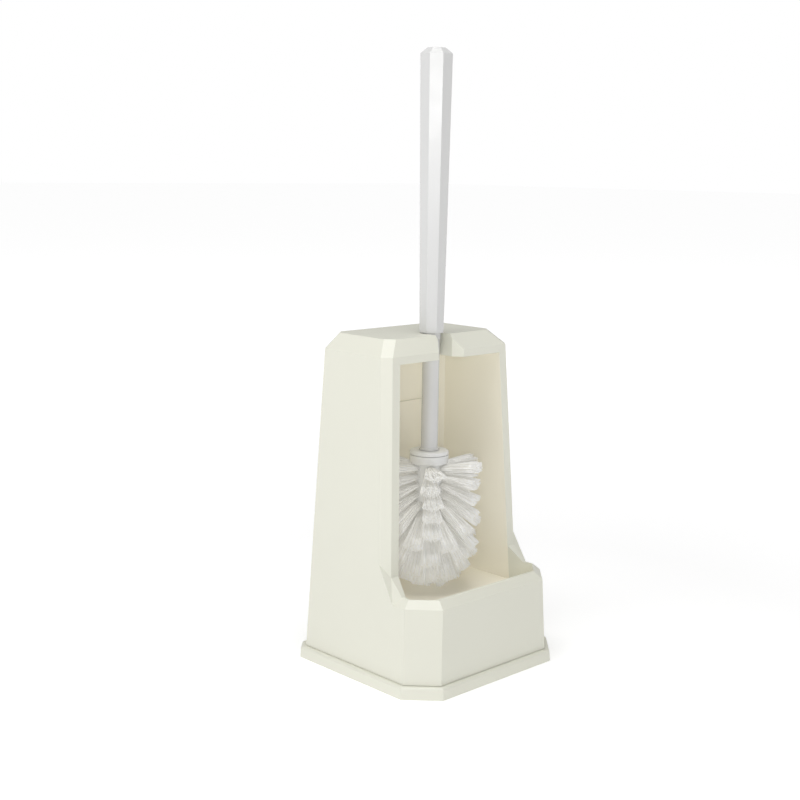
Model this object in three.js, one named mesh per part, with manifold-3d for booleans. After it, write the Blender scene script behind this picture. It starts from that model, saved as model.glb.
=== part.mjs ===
// A free-standing toilet brush holder with its brush: a double-skinned tower on a plinth,
// open to the front, with a slotted lid that the brush hangs from by the foot of its handle.
// Millimetres, +Z up, open front towards -Y. The origin is on the floor, under the middle
// of the tower's footprint.
import * as THREE from "three";
import { mergeVertices } from "three/addons/utils/BufferGeometryUtils.js";
import Module from "manifold-3d";

const wasm = await Module();
wasm.setup();

// ---- Driving dimensions ----

// Overall form of the holder
const lidTop = 250; // floor to the flat top of the lid
const footWidth = 150.8; // tower across X at its foot
const footDepth = 132.8; // tower and basin across Y at their foot
const towerSetback = 39; // tower front behind the basin front, at the foot
const sideDraft = 2.49; // degrees each face leans in from upright
const backDraft = 2.2;
const frontDraft = 3.09;
const basinDraft = 2.28;
const postChamfer = 6.1; // plan chamfer on the tower's four corners, and width of the rim bevel
const basinChamfer = 19.1; // plan chamfer on the basin's two front corners
const skin = 2.5; // moulded wall

// Lid
const lidBevelRise = 11.3;
const lidBevelSide = 11.6;
const lidBevelFront = 9.3;
const lidBevelBack = 3.5;
const lidThickness = 16.8; // flat top down to the ceiling of the bay

// Basin rim and the flare that joins it to the posts
const rimHeight = 69.5;
const rimBevelRise = 5.2;
const rimWidthFront = 8.5; // front face to the inner edge of the pocket
const rimWidthSide = 6.8; // the same at the sides and square to the chamfered corners
const flareRise = 11.5; // the flare's front line, above the rim
const flareRun = 12.5; // and forward of the post
const creaseRise = 26; // the flare's side crease, above the rim bevel's lower edge
const creaseRun = 15.5;

// Bay, the space that the brush stands in
const baySideInset = 13.4; // outer side face to bay side
const bayBackInset = 10.5;
const bayCornerChamfer = 5;
const bayFloor = 54;
const panelProud = 1.2; // raised panel on the bay's back wall
const panelMargin = 6;
const panelTop = 190;
const panelCorner = 9;

// Slot in the lid
const brushSetback = 20.6; // brush axis behind the tower's front face, at the lid's top
const slotGap = 1.2; // each side of the shaft
const mouthHalfWidth = 13.2;
const mouthDepth = 7;

// Plinth
const plinthHeight = 9;
const plinthLedge = 3.9; // stands out beyond the tower's foot
const plinthRound = 1.3;
const plinthFlare = 0.5;
const plinthWall = 3;
const plinthPlate = 2.6;
const plugHeight = 6; // upstand inside the tower's foot
const plugThickness = 2;

// Brush
const handleTop = 456;
const handleTopFlats = 23.3; // octagon across flats
const handleLedge = 1.1; // handle's foot beyond the slot on each side
const handleCrown = 4.3; // bevel at the handle's end
const handleCrownInset = 5;
const handleHeel = 2.4; // bevel where the handle narrows to its neck
const neckDepth = 4.6; // neck below the lid's top
const shaftRadius = 6.4;
const spigotRadius = 4.4; // the shaft's reduced ends
const spigotLength = 24;
const shaftFillet = 1.6; // where the shaft meets the locking ring
const collarRadius = 14.8;
const ringTop = 161.2; // top of the locking ring
const ringHeight = 3;
const ringRound = 1.2;
const collarHeight = 7;
const coreRadius = 10.5;
const tipLength = 30; // the lowest tuft, below the core
const tuftGap = 1.6; // from the longest tufts to the bay's walls
const tipTaper = 2; // less at the foot of the straight part
const tipDrop = 1; // top of the tips below the collar
const rootDrop = 1.5; // top of the roots below the collar
const tuftRows = 11; // the last is the single tuft at the tip
const firstRow = 0.25; // the top row's place below the collar, as a share of the rows' spacing
const rootFill = 0.62; // thickness of a row as a share of the room it has
const tipFill = 0.66;
const tipRadius = 2.6; // the lowest tuft
const tipRootRadius = 1.6;
const headClearance = 2.5; // lowest bristles above the pocket's floor

// Clearances
const seatGap = 0.3; // between faces that rest on each other or are pushed together
const rowGap = 0.5;
const overrun = 0.2; // how far the bay's cut runs out past the posts' faces

// Fineness of the round faces
const domeSteps = 6; // core's round end
const coreSides = 40; // head, collar and ring
const shaftSides = 32;
const boreSides = 24;
const tuftSides = 36;
const tipSides = 20;
const slotSteps = 10; // back of the slot
const panelSteps = 6; // panel's corners
const weld = 1e-4;

// ---- Derived places ----

const footHeight = plinthHeight + seatGap;
const lidCrease = lidTop - lidBevelRise;
const ceiling = lidTop - lidThickness;
const rimCrease = rimHeight - rimBevelRise;
const slotHalfWidth = shaftRadius + slotGap;
const neckHalf = (slotHalfWidth - seatGap) * Math.cos(Math.PI / 8); // its corners clear the slot
const collarTop = ringTop - ringHeight - seatGap;
const coreTop = collarTop - collarHeight;

const lean = (degrees, z) => (z - footHeight) * Math.tan(THREE.MathUtils.degToRad(degrees));
const sideX = (z) => footWidth / 2 - lean(sideDraft, z);
const backY = (z) => footDepth / 2 - lean(backDraft, z);
const basinY = (z) => -footDepth / 2 + lean(basinDraft, z);
const towerY = (z) => -footDepth / 2 + towerSetback + lean(frontDraft, z);
const brushY = towerY(lidTop) + brushSetback;
const headBottom = bayFloor + headClearance;
const coreEnd = headBottom + tipLength + coreRadius; // start of the core's round end
// Radius at the tips of the upper tufts: as far as the nearest wall of the bay allows.
const tuftReach = Math.min(
  backY(coreTop) - bayBackInset - panelProud - brushY,
  sideX(coreTop) - baySideInset,
) - tuftGap;

// ---- Helpers ----

const at = (x, y, z) => new THREE.Vector3(x, y, z);
const mirrored = (points) => points.map((p) => at(-p.x, p.y, p.z)).reverse();

// One flat polygon, seen from outside with its corners anticlockwise, as triangles.
function triangulate(points) {
  const normal = at(0, 0, 0);
  points.forEach((p, i) => {
    normal.add(at(0, 0, 0).crossVectors(p, points[(i + 1) % points.length]));
  });
  const turn = new THREE.Quaternion().setFromUnitVectors(normal.normalize(), at(0, 0, 1));
  const flat = points.map((p) => p.clone().applyQuaternion(turn));
  const outline = flat.map((p) => new THREE.Vector2(p.x, p.y));
  const faces = THREE.ShapeUtils.triangulateShape(outline, []);
  return faces.flatMap((face) => face.map((i) => points[i]));
}

// A closed geometry from its flat outer faces.
function polyhedron(faces) {
  return new THREE.BufferGeometry().setFromPoints(faces.flatMap(triangulate));
}

// A closed geometry through a stack of rings with the same number of corners, lowest first,
// each anticlockwise seen from above.
function loft(rings) {
  const faces = [rings[0].slice().reverse(), rings[rings.length - 1]];
  for (let level = 1; level < rings.length; level++) {
    const [low, high] = [rings[level - 1], rings[level]];
    low.forEach((p, i) => {
      const next = (i + 1) % low.length;
      faces.push([p, low[next], high[next]], [p, high[next], high[i]]);
    });
  }
  return polyhedron(faces);
}

// A manifold-3d solid from a three.js geometry, for cutting and joining.
function solid(geometry) {
  const bare = geometry.clone();
  bare.deleteAttribute("normal");
  bare.deleteAttribute("uv");
  const merged = mergeVertices(bare, weld);
  return new wasm.Manifold(
    new wasm.Mesh({
      numProp: 3,
      vertProperties: merged.attributes.position.array,
      triVerts: new Uint32Array(merged.index.array),
    }),
  );
}

function geometryOf(made) {
  const { vertProperties, triVerts } = made.getMesh();
  const geometry = new THREE.BufferGeometry();
  geometry.setAttribute("position", new THREE.BufferAttribute(vertProperties, 3));
  geometry.setIndex(new THREE.BufferAttribute(triVerts, 1));
  return geometry.toNonIndexed();
}

function moved(geometry, x, y, z) {
  return geometry.clone().translate(x, y, z);
}

// Lathe about the upright axis from [radius, height] pairs listed from the bottom up on the outside.
function turned(profile, sides) {
  const points = profile.map(([radius, height]) => new THREE.Vector2(radius, height));
  return new THREE.LatheGeometry(points, sides).rotateX(Math.PI / 2);
}

function cylinder(radius, low, high, sides) {
  return turned([[0, low], [radius, low], [radius, high], [0, high]], sides);
}

// Octagonal ring with flats on X and Y.
function octagon(halfWidth, z) {
  const half = halfWidth * Math.tan(Math.PI / 8);
  const corners = [
    [halfWidth, -half], [halfWidth, half], [half, halfWidth], [-half, halfWidth],
    [-halfWidth, half], [-halfWidth, -half], [-half, -halfWidth], [half, -halfWidth],
  ];
  return corners.map(([x, y]) => at(x, y, z));
}

const plastic = (color, roughness) => new THREE.MeshStandardMaterial({ color, roughness, metalness: 0 });
const creamPlastic = plastic(0xe9e8dc, 0.4);
const whitePlastic = plastic(0xf2f2f4, 0.3);
const bristle = plastic(0xeeeee8, 0.7);

const group = new THREE.Group();

function add(name, geometry, material) {
  geometry.computeVertexNormals();
  const mesh = new THREE.Mesh(geometry, material);
  mesh.name = name;
  group.add(mesh);
}

// ---- Holder body ----

// Plan outline at height z: chamfered back corners, and front corners at frontY cut by a leg.
function planRing(z, halfWidth, back, backLeg, frontY, frontLeg) {
  const right = [
    at(halfWidth - frontLeg, frontY, z),
    at(halfWidth, frontY + frontLeg, z),
    at(halfWidth, back - backLeg, z),
    at(halfWidth - backLeg, back, z),
  ];
  return [...right, ...mirrored(right)];
}

// An offset of t inwards changes each 45-degree chamfer's leg by this share of t.
const legShare = 2 - Math.SQRT2;

// Outer form of the tower and basin, with every face drawn in by t and the foot at the given height.
function holderForm(t, foot) {
  const x = (z) => sideX(z) - t;
  const back = (z) => backY(z) - t;
  const tower = (z) => towerY(z) + t;
  const basin = (z) => basinY(z) + t;
  const post = postChamfer - legShare * t;
  const corner = basinChamfer - legShare * t;
  const [top, crease, rim, rimLow] = [lidTop - t, lidCrease - t / 2, rimHeight - t, rimCrease - t / 2];
  const flareTop = rim + flareRise;
  const flareFoot = tower(flareTop) - flareRun;
  const creaseTop = rimLow + creaseRise;
  const creaseFoot = tower(creaseTop) + post - creaseRun;

  const backFoot = at(x(foot) - post, back(foot), foot);
  const backHigh = at(x(crease) - post, back(crease), crease);
  const sideBackFoot = at(x(foot), back(foot) - post, foot);
  const sideBackHigh = at(x(crease), back(crease) - post, crease);
  const sideFrontHigh = at(x(crease), tower(crease) + post, crease);
  const sideFlareTop = at(x(creaseTop), tower(creaseTop) + post, creaseTop);
  const sideFlareFoot = at(x(rimLow), creaseFoot, rimLow);
  const sideBasin = at(x(rimLow), basin(rimLow) + corner, rimLow);
  const sideBasinFoot = at(x(foot), basin(foot) + corner, foot);
  const basinFoot = at(x(foot) - corner, basin(foot), foot);
  const basinHigh = at(x(rimLow) - corner, basin(rimLow), rimLow);
  const cornerShift = post * Math.tan(Math.PI / 8);
  const rimSide = at(x(rimLow) - post, basin(rimLow) + corner + cornerShift, rim);
  const rimFront = at(x(rimLow) - corner - cornerShift, basin(rimLow) + post, rim);
  const frontFlareFoot = at(x(rimLow) - post, flareFoot, rim);
  const frontFlareTop = at(x(flareTop) - post, tower(flareTop), flareTop);
  const frontHigh = at(x(crease) - post, tower(crease), crease);
  const lidX = x(crease) - lidBevelSide;
  const lidBackY = back(crease) - lidBevelBack;
  const lidFrontY = tower(crease) + lidBevelFront;
  const lidBack = at(lidX - post, lidBackY, top);
  const lidSideBack = at(lidX, lidBackY - post, top);
  const lidSideFront = at(lidX, lidFrontY + post, top);
  const lidFront = at(lidX - post, lidFrontY, top);

  const right = [
    [
      sideBackFoot, sideBackHigh, sideFrontHigh, sideFlareTop,
      sideFlareFoot, sideBasin, sideBasinFoot,
    ],
    [sideBackFoot, backFoot, backHigh, sideBackHigh],
    [sideBackHigh, backHigh, lidBack, lidSideBack],
    [sideBackHigh, lidSideBack, lidSideFront, sideFrontHigh],
    [sideFrontHigh, lidSideFront, lidFront, frontHigh],
    [sideFrontHigh, frontHigh, frontFlareTop],
    [sideFrontHigh, frontFlareTop, sideFlareTop],
    [sideFlareTop, frontFlareTop, sideFlareFoot],
    [frontFlareTop, frontFlareFoot, sideFlareFoot],
    [sideFlareFoot, frontFlareFoot, rimSide, sideBasin],
    [sideBasin, rimSide, rimFront, basinHigh],
    [sideBasinFoot, sideBasin, basinHigh, basinFoot],
  ].flatMap((face) => [face, mirrored(face)]);

  const across = (...points) => [...points, ...mirrored(points)];
  const middle = [
    across(backHigh, backFoot),
    across(lidBack, backHigh),
    across(lidFront, lidSideFront, lidSideBack, lidBack),
    across(frontHigh, lidFront),
    across(frontFlareTop, frontHigh),
    across(frontFlareFoot, frontFlareTop),
    across(rimFront, rimSide, frontFlareFoot),
    across(basinHigh, rimFront),
    across(basinFoot, basinHigh),
    across(backFoot, sideBackFoot, sideBasinFoot, basinFoot),
  ];
  return solid(polyhedron([...right, ...middle]));
}

// The bay and the pocket of the basin in front of it, with every wall pushed out by t. The bay's
// sides splay out from the posts' inner edges to meet the pocket's chamfered corners.
function bayForm(t) {
  const [floor, lip, top] = [bayFloor - t, rimHeight, ceiling + t];
  const leg = bayCornerChamfer + legShare * t;
  // The pocket's corner runs parallel to the basin's chamfer, rimWidthSide inside it.
  const outerCorner = sideX(rimCrease) - basinY(rimCrease) - basinChamfer;
  const innerCorner = outerCorner - (rimWidthSide - t) * Math.SQRT2;

  const pocketFront = (z) => basinY(z) + rimWidthFront - t;
  const pocketSide = (z) => sideX(z) - rimWidthSide + t;
  const pocket = (z) => [
    [innerCorner + pocketFront(z), pocketFront(z)],
    [pocketSide(z), pocketSide(z) - innerCorner],
  ];
  const splay = Math.atan2(baySideInset - rimWidthSide, towerY(lip) - pocket(lip)[1][1]);
  const ring = (z, [front, side]) => {
    const wall = sideX(z) - baySideInset + t;
    const rear = backY(z) - bayBackInset + t;
    const post = towerY(z) + t * Math.tan(splay / 2) - overrun;
    const right = [front, side, [wall, post], [wall, rear - leg], [wall - leg, rear]];
    const corners = right.map(([x, y]) => at(x, y, z));
    return [...corners, ...mirrored(corners)];
  };
  return solid(loft([ring(floor, pocket(floor)), ring(lip, pocket(lip)), ring(top, pocket(lip))]));
}

// Upright cutter for the lid's slot, round at the back and flared at the front.
function slotForm(t, low) {
  const half = slotHalfWidth + t;
  const front = towerY(lidCrease);
  const beyond = -footDepth;
  const shape = new THREE.Shape();
  shape.moveTo(half, brushY);
  shape.absarc(0, brushY, half, 0, Math.PI, false);
  shape.lineTo(-half, front + mouthDepth + t);
  shape.lineTo(-mouthHalfWidth - t, front + t);
  shape.lineTo(-mouthHalfWidth - t, beyond);
  shape.lineTo(mouthHalfWidth + t, beyond);
  shape.lineTo(mouthHalfWidth + t, front + t);
  shape.lineTo(half, front + mouthDepth + t);
  const cut = new THREE.ExtrudeGeometry(shape, {
    depth: lidTop - low + lidThickness,
    bevelEnabled: false,
    curveSegments: slotSteps,
  });
  return solid(moved(cut, 0, 0, low));
}

// Raised panel on the bay's back wall, standing off it and leaning with it.
function backPanel() {
  const half = sideX(panelTop) - baySideInset - panelMargin;
  const height = panelTop - bayFloor + skin;
  const shape = new THREE.Shape();
  shape.moveTo(-half, 0);
  shape.lineTo(half, 0);
  shape.lineTo(half, height - panelCorner);
  shape.absarc(half - panelCorner, height - panelCorner, panelCorner, 0, Math.PI / 2, false);
  shape.absarc(panelCorner - half, height - panelCorner, panelCorner, Math.PI / 2, Math.PI, false);
  const depth = panelProud + skin / 2;
  const slab = new THREE.ExtrudeGeometry(shape, { depth, bevelEnabled: false, curveSegments: panelSteps });
  slab.rotateX(Math.PI / 2 + THREE.MathUtils.degToRad(backDraft));
  const foot = bayFloor - skin / 2;
  const wall = backY(foot) - bayBackInset + skin / 2;
  return solid(moved(slab, 0, wall, foot));
}

function holderBody() {
  const outside = holderForm(0, footHeight);
  const hollow = holderForm(skin, 0)
    .subtract(bayForm(skin))
    .subtract(slotForm(skin, ceiling - skin));
  const body = outside
    .subtract(hollow)
    .subtract(bayForm(0))
    .subtract(slotForm(0, ceiling - skin))
    .add(backPanel());
  return geometryOf(body);
}

add("holder_body", holderBody(), creamPlastic);

// ---- Plinth ----

// The tower's foot outline grown outwards by t, at height z.
function footRing(t, z) {
  return planRing(
    z,
    sideX(footHeight) + t,
    backY(footHeight) + t,
    postChamfer + legShare * t,
    basinY(footHeight) - t,
    basinChamfer + legShare * t,
  );
}

function plinth() {
  const outer = loft([
    footRing(plinthLedge + plinthFlare, 0),
    footRing(plinthLedge, plinthHeight - plinthRound),
    footRing(plinthLedge - plinthRound, plinthHeight),
  ]);
  const under = plinthLedge - plinthWall;
  const recess = loft([
    footRing(under, -plinthPlate),
    footRing(under, plinthHeight - plinthPlate),
  ]);
  const plugOut = -skin - 2 * seatGap;
  const plug = (t, low) => loft([footRing(t, low), footRing(t, plinthHeight + plugHeight)]);
  const lap = plinthPlate / 2;
  const upstand = solid(plug(plugOut, plinthHeight - lap)).subtract(
    solid(loft([
      footRing(plugOut - plugThickness, plinthHeight - plinthPlate),
      footRing(plugOut - plugThickness, plinthHeight + 2 * plugHeight),
    ])),
  );
  return geometryOf(solid(outer).subtract(solid(recess)).add(upstand));
}

add("base_plinth", plinth(), creamPlastic);

// ---- Brush ----

function handle() {
  const foot = lidTop + seatGap;
  const footHalf = slotHalfWidth + handleLedge;
  const topHalf = handleTopFlats / 2;
  const neckFoot = lidTop - neckDepth;
  const body = solid(loft([
    octagon(neckHalf, neckFoot),
    octagon(neckHalf, foot),
    octagon(footHalf, foot + seatGap),
    octagon(footHalf + seatGap, foot + handleHeel),
    octagon(topHalf, handleTop - handleCrown),
    octagon(topHalf - handleCrownInset, handleTop),
  ]));
  const socket = cylinder(spigotRadius + seatGap, neckFoot - seatGap, neckFoot + spigotLength, boreSides);
  return geometryOf(body.subtract(solid(socket)));
}

function shaft() {
  const top = lidTop - neckDepth - seatGap;
  return turned([
    [0, coreTop - collarHeight],
    [spigotRadius, coreTop - collarHeight],
    [spigotRadius, ringTop + seatGap],
    [shaftRadius + shaftFillet, ringTop + seatGap],
    [shaftRadius + shaftFillet / 3, ringTop + seatGap + shaftFillet / 2],
    [shaftRadius, ringTop + seatGap + shaftFillet],
    [shaftRadius, top],
    [spigotRadius, top],
    [spigotRadius, top + spigotLength - 2 * seatGap],
    [0, top + spigotLength - 2 * seatGap],
  ], shaftSides);
}

// The ring that locks the shaft to the head.
function lockingRing() {
  const bore = spigotRadius + seatGap;
  const low = ringTop - ringHeight;
  return turned([
    [bore, low],
    [collarRadius, low],
    [collarRadius, ringTop - ringRound],
    [collarRadius - ringRound / 3, ringTop - ringRound / 3],
    [collarRadius - ringRound, ringTop],
    [bore, ringTop],
    [bore, low],
  ], coreSides);
}

// Collar and core, bored from the top for the shaft's end.
function headCore() {
  const bore = spigotRadius + seatGap;
  const socket = coreTop - collarHeight - seatGap;
  const outline = coreOutline(0, coreTop).getPoints(domeSteps).map((p) => [p.x, p.y]).reverse();
  return turned([
    [0, coreEnd - coreRadius],
    ...outline.slice(1),
    [collarRadius - ringRound, coreTop],
    [collarRadius, coreTop + ringRound],
    [collarRadius, collarTop],
    [bore, collarTop],
    [bore, socket],
    [0, socket],
  ], coreSides);
}

// A ring of tufts as one soft wedge, from the core at `root` out to `tip`, both [radius, height].
function tuftRing(root, tip, rootThickness, tipThickness) {
  const [run, fall] = [tip[0] - root[0], tip[1] - root[1]];
  const length = Math.hypot(run, fall);
  const across = [-fall / length, run / length];
  const corner = ([radius, height], offset) => [radius + across[0] * offset, height + across[1] * offset];
  return turned([
    corner(root, -rootThickness / 2),
    corner(tip, -tipThickness / 2),
    corner(tip, tipThickness / 2),
    corner(root, rootThickness / 2),
    corner(root, -rootThickness / 2),
  ], tuftSides);
}

// Outline of the tufts' tips, from the top row down to the lowest point on the axis.
function tipOutline() {
  const path = new THREE.Path();
  path.moveTo(tuftReach, coreTop - tipDrop);
  path.lineTo(tuftReach - tipTaper, coreEnd + coreRadius / 2);
  const shoulder = headBottom + coreRadius / 2;
  path.bezierCurveTo(tuftReach - tipTaper, shoulder, tuftReach / 2, headBottom, 0, headBottom);
  return path;
}

// The core's outline grown by t, from its top down to its lowest point on the axis.
function coreOutline(t, top) {
  const path = new THREE.Path();
  path.moveTo(coreRadius + t, top);
  path.lineTo(coreRadius + t, coreEnd);
  path.absarc(0, coreEnd, coreRadius + t, 0, -Math.PI / 2, true);
  return path;
}

function tufts() {
  const [tips, roots] = [tipOutline(), coreOutline(0, coreTop - rootDrop)];
  const grown = coreOutline(rowGap, coreTop).getPoints(domeSteps).map((p) => [p.x, p.y]).reverse();
  grown[0][0] = 0;
  const core = solid(turned([...grown, [0, coreTop]], coreSides));
  const rows = Array.from({ length: tuftRows }, (_, row) => {
    const share = (row + firstRow) / (tuftRows - 2 * firstRow);
    return { root: roots.getPointAt(share), tip: tips.getPointAt(share) };
  });
  // Distance from one row to the next, square to the first, at its roots or its tips.
  const spacing = (row, end) => {
    const along = rows[row].tip.clone().sub(rows[row].root).normalize();
    return Math.abs(along.cross(rows[row + 1][end].clone().sub(rows[row][end])));
  };
  const room = (row, end) => Math.min(spacing(row, end), spacing(Math.max(row - 1, 0), end));
  for (let row = 0; row < tuftRows - 1; row++) {
    const { root, tip } = rows[row];
    const [thin, thick] = [room(row, "root") * rootFill, room(row, "tip") * tipFill];
    const ring = solid(tuftRing(root.toArray(), tip.toArray(), thin, thick)).subtract(core);
    add(`tuft_row_${row + 1}`, geometryOf(ring), bristle);
  }
  const rootLow = coreEnd - coreRadius - rowGap;
  const single = [[0, headBottom], [tipRadius, headBottom], [tipRootRadius, rootLow], [0, rootLow]];
  add("tuft_tip", turned(single, tipSides), bristle);
}

add("handle", handle(), whitePlastic);
add("shaft", shaft(), whitePlastic);
add("locking_ring", lockingRing(), whitePlastic);
add("head_core", headCore(), whitePlastic);
tufts();

const holderNodes = ["holder_body", "base_plinth"];
group.children
  .filter((mesh) => !holderNodes.includes(mesh.name))
  .forEach((mesh) => mesh.position.set(0, brushY, 0));

export default group;
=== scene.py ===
import math
import random

import bmesh
import bpy
from mathutils import Matrix, Quaternion, Vector


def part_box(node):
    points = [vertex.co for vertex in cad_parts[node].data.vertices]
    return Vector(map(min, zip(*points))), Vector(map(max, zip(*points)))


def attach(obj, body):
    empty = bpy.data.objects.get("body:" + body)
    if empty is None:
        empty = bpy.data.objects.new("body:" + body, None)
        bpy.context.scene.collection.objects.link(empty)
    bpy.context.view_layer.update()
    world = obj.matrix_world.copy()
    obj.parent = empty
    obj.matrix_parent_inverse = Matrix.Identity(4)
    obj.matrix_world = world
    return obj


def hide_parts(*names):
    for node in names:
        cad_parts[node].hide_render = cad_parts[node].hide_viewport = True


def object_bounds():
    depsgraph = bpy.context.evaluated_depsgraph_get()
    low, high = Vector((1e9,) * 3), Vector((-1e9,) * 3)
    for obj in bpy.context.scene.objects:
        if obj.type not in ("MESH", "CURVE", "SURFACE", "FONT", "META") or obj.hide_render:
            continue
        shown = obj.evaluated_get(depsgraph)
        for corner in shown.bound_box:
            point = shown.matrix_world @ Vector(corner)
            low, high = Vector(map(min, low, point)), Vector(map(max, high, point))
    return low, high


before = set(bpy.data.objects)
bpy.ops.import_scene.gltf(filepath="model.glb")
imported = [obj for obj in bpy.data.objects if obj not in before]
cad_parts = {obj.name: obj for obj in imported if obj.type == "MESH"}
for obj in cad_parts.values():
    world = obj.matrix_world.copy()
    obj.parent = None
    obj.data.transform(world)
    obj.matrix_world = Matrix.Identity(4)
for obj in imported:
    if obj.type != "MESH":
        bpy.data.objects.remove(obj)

MM = 0.001
cad_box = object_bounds()

# ---- Sizes ----

# Edges of the mouldings
HOLDER_EDGE = 0.9 * MM
PLINTH_EDGE = 0.6 * MM
HANDLE_EDGE = 1.1 * MM
SMALL_EDGE = 0.35 * MM
EDGE_STEPS = 3
SHARP = math.radians(25)  # edges that turn by more than this are rounded
FLAT = math.radians(0.5)  # faces that meet at less than this become one
WELD = 0.01 * MM

# The bay's inside
BAY_WALL = 7 * MM  # nearer than this to the tower's sides is outside
BAY_FLOOR = 54.5 * MM
BAY_CEILING = 233 * MM
BAY_MARGIN = 1 * MM
BAY_FRONT = -24 * MM
BAY_MIDDLE = 15 * MM
LEVEL = 0.9  # how far up a floor's face looks, as a cosine
INWARD = 0.3  # and how far a wall's face looks towards the middle
WALL_GLOW = 0.046  # stands for the light that comes through the bay's thin walls

# Tufts
CORE_RADIUS = 10.5 * MM
ROOT_REACH = 1.7 * CORE_RADIUS  # what lies nearer than this is a row's root
COLUMN_ROWS = 4  # the upper rows, whose tufts stand in columns
COLUMNS = 6
FIRST_COLUMN = math.radians(229)
LOW_TUFTS = 8  # in each of the staggered rows below
TUFT_KINDS = 6
ROOT_SPREAD = 2.0 * MM  # half a tuft's thickness where it leaves the core
TIP_SPREAD = 4.1 * MM
TUFT_WIDTH = 1.9  # across, to its thickness
TUFT_SAG = 1.2 * MM
TOP_RISE = 4.5 * MM  # the top row's tips above their CAD solid's middle
LEAN_JITTER = math.radians(2)
UP_TILT = 0.01  # keeps a tuft's upper side defined when it points straight down
ROW_SEED = 20

# Strands
STRANDS = 165  # in a tuft
STRAND_RADIUS = 0.4 * MM
STRAND_SIDES = 3
STRAND_STEPS = 4
STRAY = 0.2 * MM
RAGGED = 0.09  # longest shortfall of a strand, as a share of the tuft
RAGGED_POWER = 1.5  # more makes short strands rarer
FILAMENT_GLOW = 0.235  # stands for the light that passes through the strands

# Colours
CREAM = (0.81, 0.81, 0.71, 1)
CREAM_CLOUD = (0.79, 0.785, 0.685, 1)
# Painted light: the bay's faces take this brighter, warmer cream, standing for the light that
# bounces in the bay and comes through its thin walls
CREAM_PAINTED_BAY_LIGHT = (0.93, 0.89, 0.765, 1)
WHITE = (0.71, 0.71, 0.705, 1)
WHITE_CLOUD = (0.695, 0.695, 0.69, 1)
HEAD_WHITE = (0.88, 0.885, 0.88, 1)
HEAD_CLOUD = (0.86, 0.865, 0.86, 1)
STRAND_DULL = (0.7, 0.69, 0.65, 1)
STRAND_BRIGHT = (0.92, 0.92, 0.91, 1)
# The strands' painted glow: duller towards the roots, painting the shade between the tufts,
# brighter towards the tips, and varied by each strand's tone
GLOW_DULL = (0.48, 0.46, 0.4, 1)
GLOW_BRIGHT = (1, 1, 0.98, 1)
BLACK = (0, 0, 0, 1)

# Moulded surface: the scales of its patterns and how much each of them shows
CLOUD_SCALE = 18
SMEAR_SCALE = 60
GRAIN_SCALE = 1800
SINK_SCALE = 35
SINK_RELIEF = 0.5
SMEAR_RELIEF = 0.08
SMEAR_GLOSS = 0.14
RELIEF_STRENGTH = 0.35
RELIEF_DEPTH = 0.12 * MM

# Camera, floor and room
VIEW_AZIMUTH = math.radians(-43.79)
VIEW_ELEVATION = math.radians(10.06)
VIEW_ROLL = math.radians(0.85)
VIEW_DISTANCE = 1016.7 * MM
VIEW_TARGET = Vector((0, 38.95 * MM, 194.6 * MM))
LENS = 59.4
FLOOR_SIZE = 40.0
FLOOR_GLOW = 0.26  # at the object
SWEEP_GLOW = 0.74  # and far away
SWEEP_NEAR = 0.35
SWEEP_FAR = 1.6
ROOM_LIGHT = 0.25


# ---- Camera and light ----

def heading(azimuth, elevation):
    """Unit vector from the object towards a place that far round and up."""
    level = math.cos(elevation)
    return Vector((math.sin(azimuth) * level, -math.cos(azimuth) * level, math.sin(elevation)))


def link(obj):
    bpy.context.scene.collection.objects.link(obj)
    return obj


def set_camera():
    back = heading(VIEW_AZIMUTH, VIEW_ELEVATION)
    camera = link(bpy.data.objects.new("camera", bpy.data.cameras.new("camera")))
    camera.data.lens = LENS
    camera.location = VIEW_TARGET + back * VIEW_DISTANCE
    camera.rotation_mode = "QUATERNION"
    level = (-back).to_track_quat("-Z", "Y")
    camera.rotation_quaternion = level @ Quaternion((0, 0, 1), VIEW_ROLL)
    bpy.context.scene.camera = camera


def softbox(name, azimuth, elevation, distance, width, height, power):
    """A soft panel of light that faces the middle of the object."""
    middle = (cad_box[0] + cad_box[1]) / 2
    away = heading(math.radians(azimuth), math.radians(elevation))
    light = bpy.data.lights.new(name, "AREA")
    light.shape = "RECTANGLE"
    light.size, light.size_y, light.energy = width, height, power
    lamp = link(bpy.data.objects.new(name, light))
    lamp.location = middle + away * distance
    lamp.rotation_euler = (-away).to_track_quat("-Z", "Y").to_euler()


def set_room(strength):
    """Even light all round, against a white backdrop."""
    room = bpy.data.worlds.new("room")
    room.use_nodes = True
    nodes, links = room.node_tree.nodes, room.node_tree.links
    backdrop = nodes.new("ShaderNodeBackground")
    backdrop.inputs["Color"].default_value = (1, 1, 1, 1)
    nodes["Background"].inputs["Color"].default_value = (1, 1, 1, 1)
    nodes["Background"].inputs["Strength"].default_value = strength
    either = nodes.new("ShaderNodeMixShader")
    links.new(nodes.new("ShaderNodeLightPath").outputs["Is Camera Ray"], either.inputs["Fac"])
    links.new(nodes["Background"].outputs[0], either.inputs[1])
    links.new(backdrop.outputs[0], either.inputs[2])
    links.new(either.outputs[0], nodes["World Output"].inputs["Surface"])
    bpy.context.scene.world = room


# ---- Shader maths ----

class Wire:
    """A shader socket that can be used in sums."""

    def __init__(self, paint, socket):
        self.paint, self.socket = paint, socket

    def maths(self, operation, other):
        return self.paint.node("ShaderNodeMath", {"operation": operation}, {0: self, 1: other})

    def __add__(self, other):
        return self.maths("ADD", other)

    def __mul__(self, other):
        return self.maths("MULTIPLY", other)

    __radd__ = __add__
    __rmul__ = __mul__


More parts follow.
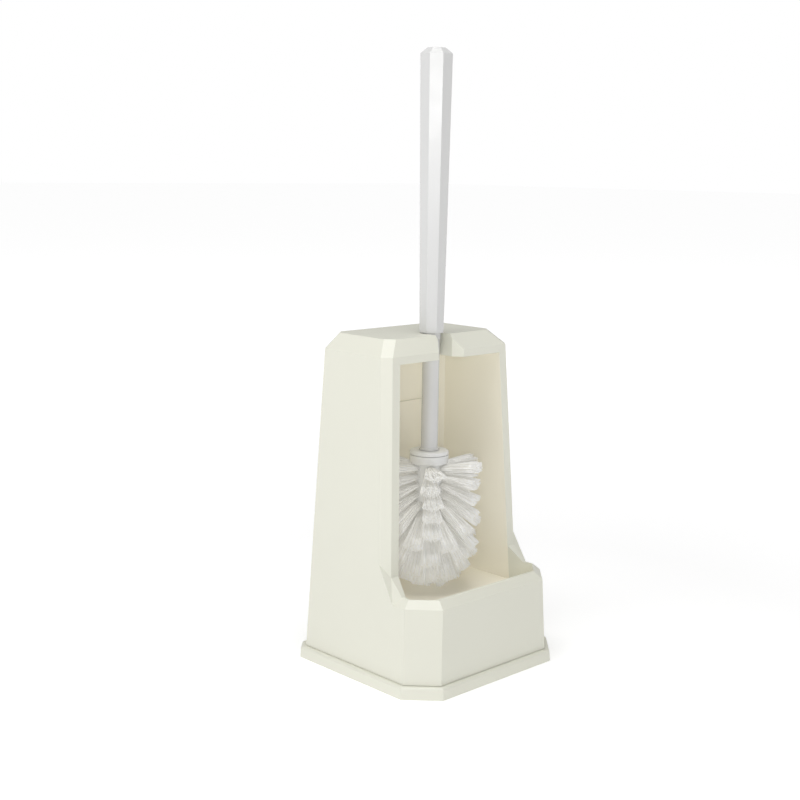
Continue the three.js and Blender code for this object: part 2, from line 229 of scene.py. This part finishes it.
class Paint:
    """A material under construction."""

    def __init__(self, name):
        self.material = bpy.data.materials.new(name)
        self.material.use_nodes = True
        self.tree = self.material.node_tree
        self.shader = self.tree.nodes["Principled BSDF"]

    def feed(self, sockets, values):
        for key, value in values.items():
            if isinstance(value, Wire):
                self.tree.links.new(value.socket, sockets[key])
            else:
                sockets[key].default_value = value

    def node(self, kind, settings, values, output=0):
        made = self.tree.nodes.new(kind)
        for key, value in settings.items():
            setattr(made, key, value)
        self.feed(made.inputs, values)
        return Wire(self, made.outputs[output])

    def place(self):
        return self.node("ShaderNodeTexCoord", {}, {}, "Object")

    def attribute(self, name):
        return self.node("ShaderNodeAttribute", {"attribute_name": name}, {}, "Fac")

    def noise(self, place, scale, detail=2.0):
        values = {"Vector": place, "Scale": scale, "Detail": detail}
        return self.node("ShaderNodeTexNoise", {}, values, "Fac")

    def blend(self, share, first, second):
        """From the first colour to the second, by the Mix node's colour sockets."""
        values = {0: share, 6: first, 7: second}
        return self.node("ShaderNodeMix", {"data_type": "RGBA"}, values, 2)

    def finish(self, **values):
        named = {key.replace("_", " "): value for key, value in values.items()}
        self.feed(self.shader.inputs, named)
        return self.material


def moulded_plastic(name, light, deep, painted_bay_light, roughness, grain):
    """Moulded plastic: clouded a little in colour and gloss, finely grained, with sink marks.

    On the faces marked as the bay's it turns to the painted bay light colour and glows faintly:
    painted light that stands for the light bouncing in the bay and coming through its thin walls.
    """
    paint = Paint(name)
    place = paint.place()
    clouds = paint.noise(place, CLOUD_SCALE, 3)
    smears = paint.noise(place, SMEAR_SCALE, 4)
    fine = paint.noise(place, GRAIN_SCALE)
    sinks = paint.noise(place, SINK_SCALE)
    relief = fine * grain + sinks * SINK_RELIEF + smears * SMEAR_RELIEF
    bump = {"Height": relief, "Strength": RELIEF_STRENGTH, "Distance": RELIEF_DEPTH}
    # The bay's faces: painted light, both in their colour and in a faint glow
    inside = paint.attribute("bay")
    return paint.finish(
        Base_Color=paint.blend(inside, paint.blend(clouds, light, deep), painted_bay_light),
        Roughness=smears * SMEAR_GLOSS + (roughness - SMEAR_GLOSS / 2),
        Normal=paint.node("ShaderNodeBump", {}, bump, "Normal"),
        Emission_Color=paint.blend(inside, BLACK, painted_bay_light),
        Emission_Strength=WALL_GLOW,
    )


def strand_plastic():
    """Bristle filament: each strand has its own tone, and the strands glow, more at the tips:
    painted light that stands for the light passing through them, and painted shade at the roots.
    """
    paint = Paint("bristle_filament")
    own = paint.attribute("strand")
    lit = paint.attribute("outward")
    tone = own * 0.5 + paint.noise(paint.place(), 240) * 0.5
    return paint.finish(
        Base_Color=paint.blend(tone, STRAND_DULL, STRAND_BRIGHT),
        Roughness=own * 0.2 + 0.3,
        Emission_Color=paint.blend(lit * 0.35 + tone * 0.5, GLOW_DULL, GLOW_BRIGHT),
        Emission_Strength=FILAMENT_GLOW,
    )


def floor_paint():
    """White studio floor that brightens into the backdrop with distance."""
    paint = Paint("pale_floor")
    place = paint.place()
    shade = paint.noise(place, 3)
    away = paint.node("ShaderNodeVectorMath", {"operation": "LENGTH"}, {0: place}, "Value")
    sweep = {"Value": away, "From Min": SWEEP_NEAR, "From Max": SWEEP_FAR}
    far = paint.node("ShaderNodeMapRange", {}, sweep)
    near_glow, far_glow = (FLOOR_GLOW,) * 3 + (1,), (SWEEP_GLOW,) * 3 + (1,)
    return paint.finish(
        Base_Color=paint.blend(shade, (0.95, 0.95, 0.95, 1), (0.97, 0.97, 0.97, 1)),
        Roughness=shade * 0.1 + 0.75,
        Emission_Color=paint.blend(far, near_glow, far_glow),
        Emission_Strength=1.0,
    )


# ---- Pieces ----

def as_mesh(bm, name):
    mesh = bpy.data.meshes.new(name)
    bm.to_mesh(mesh)
    bm.free()
    return mesh


def place_piece(bm, name, body, material, node):
    """Makes the mesh a piece that stands for a CAD node and moves with its body."""
    mesh = as_mesh(bm, name)
    mesh.materials.append(material)
    mesh.shade_smooth()
    piece = link(bpy.data.objects.new(name, mesh))
    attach(piece, body)
    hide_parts(node)
    return piece


def mark_bay(bm):
    """Marks the faces within the bay that look up from its floor or towards its middle.

    On the brush these are the faces turned to the bay's back, which its walls light. The marked
    faces take the painted bay light colour and a faint painted glow.
    """
    low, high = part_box("holder_body")
    inside = bm.faces.layers.float.new("bay")
    for face in bm.faces:
        spot = face.calc_center_median()
        margin = min(spot.x - low.x, high.x - spot.x, spot.y - low.y, high.y - spot.y)
        within = BAY_FLOOR - BAY_MARGIN < spot.z < BAY_CEILING + BAY_MARGIN
        floor = face.normal.z > LEVEL and spot.z < BAY_FLOOR
        towards = Vector((-spot.x, BAY_MIDDLE - spot.y, 0)).normalized()
        wall = spot.y > BAY_FRONT and face.normal.dot(towards) > INWARD
        face[inside] = 1.0 if margin > BAY_WALL and within and (floor or wall) else 0.0


def rounded(node, name, body, material, radius):
    """A moulded piece: the CAD node's form with its sharp edges rounded."""
    bm = bmesh.new()
    bm.from_mesh(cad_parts[node].data)
    bmesh.ops.remove_doubles(bm, verts=bm.verts, dist=WELD)
    bmesh.ops.dissolve_limit(bm, angle_limit=FLAT, verts=bm.verts, edges=bm.edges)
    edges = [edge for edge in bm.edges if edge.is_manifold and edge.calc_face_angle() > SHARP]
    bmesh.ops.bevel(
        bm, geom=edges, offset=radius, offset_type="OFFSET", segments=EDGE_STEPS,
        profile=0.5, affect="EDGES", clamp_overlap=True, material=-1,
    )
    mark_bay(bm)
    piece = place_piece(bm, name, body, material, node)
    piece.modifiers.new("even_faces", "WEIGHTED_NORMAL")


def grow_strand(bm, along):
    """A thin rod that follows a path from its share 0 to its share 1. Returns its vertices."""
    facing = Matrix.Rotation(math.pi / 2, 4, "Y")
    made = bmesh.ops.create_circle(
        bm, cap_ends=True, segments=STRAND_SIDES, radius=STRAND_RADIUS,
        matrix=Matrix.Translation(along(0)) @ facing,
    )
    strand = list(made["verts"])
    face = strand[0].link_faces[0]
    for step in range(STRAND_STEPS):
        grown = bmesh.ops.extrude_face_region(bm, geom=[face])["geom"]
        fresh = [part for part in grown if isinstance(part, bmesh.types.BMVert)]
        face = next(part for part in grown if isinstance(part, bmesh.types.BMFace))
        move = along((step + 1) / STRAND_STEPS) - along(step / STRAND_STEPS)
        bmesh.ops.translate(bm, verts=fresh, vec=move)
        strand += fresh
    return strand


def tuft(seed):
    """One tuft, a metre long along +X, that flares and sags towards its tip, as a mesh."""
    chance = random.Random(seed)
    bm = bmesh.new()
    tone = bm.verts.layers.float.new("strand")
    outward = bm.verts.layers.float.new("outward")
    for _ in range(STRANDS):
        reach = math.sqrt(chance.random())
        turn = chance.uniform(0, 2 * math.pi)
        out = Vector((0, math.cos(turn) * TUFT_WIDTH, math.sin(turn))) * reach
        stray = Vector((0, chance.gauss(0, 1), chance.gauss(0, 1))) * STRAY
        length = 1 - RAGGED * chance.random() ** RAGGED_POWER

        def along(share):
            flare = ROOT_SPREAD + (TIP_SPREAD - ROOT_SPREAD) * share
            sag = Vector((0, 0, -TUFT_SAG)) * share ** 2
            return Vector((length * share, 0, 0)) + out * flare + stray * share + sag

        strand = grow_strand(bm, along)
        own = chance.random()
        for vert in strand:
            vert[tone] = own
            vert[outward] = vert.co.x
    bmesh.ops.recalc_face_normals(bm, faces=bm.faces)
    return as_mesh(bm, "tuft_kind")


def plant(bm, kind, root, tip, up):
    """Adds a copy of a tuft from its root to its tip."""
    first = len(bm.verts)
    bm.from_mesh(kind)
    bm.verts.ensure_lookup_table()
    along = tip - root
    forward = along.normalized()
    side = up.cross(forward).normalized()
    turned = Matrix((forward * along.length, side, forward.cross(side))).transposed().to_4x4()
    bmesh.ops.transform(bm, matrix=Matrix.Translation(root) @ turned, verts=bm.verts[first:])


def row_ends(node, axis_y, core_end):
    """Middle of a row's root and of its tip, each as (radius, height), from its CAD solid."""
    near, far = [], []
    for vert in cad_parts[node].data.vertices:
        radius = math.hypot(vert.co.x, vert.co.y - axis_y)
        drop = max(core_end - vert.co.z, 0)
        spot = Vector((radius, vert.co.z))
        (near if math.hypot(radius, drop) < ROOT_REACH else far).append(spot)
    return sum(near, Vector((0, 0))) / len(near), sum(far, Vector((0, 0))) / len(far)


def row_number(node):
    return int(node.removeprefix("tuft_row_"))


def bristle_rows(material):
    """The rows of tufts up the core, and the lowest tuft, straight down from its end."""
    low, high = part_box("head_core")
    axis_y = (low.y + high.y) / 2
    centre, up = Vector((0, axis_y, 0)), Vector((0, 0, 1))
    kinds = [tuft(seed) for seed in range(TUFT_KINDS)]
    chance = random.Random(ROW_SEED)
    rows = [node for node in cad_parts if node.startswith("tuft_row_")]
    for number, node in enumerate(sorted(rows, key=row_number)):
        root, tip = row_ends(node, axis_y, low.z + CORE_RADIUS)
        upper = number < COLUMN_ROWS
        count, stagger = (COLUMNS, 0) if upper else (LOW_TUFTS, number % 2 / 2)
        bm = bmesh.new()
        for step in range(count):
            turn = FIRST_COLUMN + 2 * math.pi * (step + stagger) / count
            turn += chance.gauss(0, LEAN_JITTER)
            rise = chance.gauss(0, LEAN_JITTER) * (tip - root).length
            rise += TOP_RISE * (1 - number / len(rows))
            out = Vector((math.cos(turn), math.sin(turn), 0))
            start = centre + out * root.x + up * root.y
            end = centre + out * tip.x + up * (tip.y + rise)
            plant(bm, chance.choice(kinds), start, end, up + out * UP_TILT)
        place_piece(bm, f"bristle_row_{number + 1}", "brush", material, node)
    low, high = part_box("tuft_tip")
    bm = bmesh.new()
    plant(bm, kinds[0], centre + up * high.z, centre + up * low.z, Vector((0, 1, 0)))
    place_piece(bm, "bristle_tip", "brush", material, "tuft_tip")
    for kind in kinds:
        bpy.data.meshes.remove(kind)


# ---- The scene ----

set_camera()

cream = moulded_plastic("cream_plastic", CREAM, CREAM_CLOUD, CREAM_PAINTED_BAY_LIGHT, 0.4, 0.5)
white = moulded_plastic("white_plastic", WHITE, WHITE_CLOUD, WHITE_CLOUD, 0.24, 0.25)
head_white = moulded_plastic("head_plastic", HEAD_WHITE, HEAD_CLOUD, HEAD_CLOUD, 0.3, 0.25)
filament = strand_plastic()

rounded("holder_body", "tower", "holder", cream, HOLDER_EDGE)
rounded("base_plinth", "plinth", "holder", cream, PLINTH_EDGE)
rounded("handle", "brush_handle", "brush", white, HANDLE_EDGE)
rounded("shaft", "brush_shaft", "brush", white, SMALL_EDGE)
rounded("locking_ring", "brush_ring", "brush", head_white, SMALL_EDGE)
rounded("head_core", "brush_core", "brush", head_white, SMALL_EDGE)
bristle_rows(filament)

bm = bmesh.new()
bmesh.ops.create_grid(bm, x_segments=1, y_segments=1, size=FLOOR_SIZE / 2)
floor_mesh = as_mesh(bm, "floor")
floor_mesh.materials.append(floor_paint())
link(bpy.data.objects.new("floor", floor_mesh))

# Angles in degrees, sizes in metres, power in watts
set_room(ROOM_LIGHT)
softbox("front_box", azimuth=-45, elevation=7.6, distance=1.9, width=0.3, height=0.3, power=4.4)
softbox("side_window", azimuth=-100, elevation=10, distance=2.2, width=1.6, height=1.6, power=8.2)
softbox("top_panel", azimuth=-60, elevation=80, distance=1.8, width=1.4, height=1.4, power=25)
bpy.context.scene.view_settings.view_transform = "Standard"
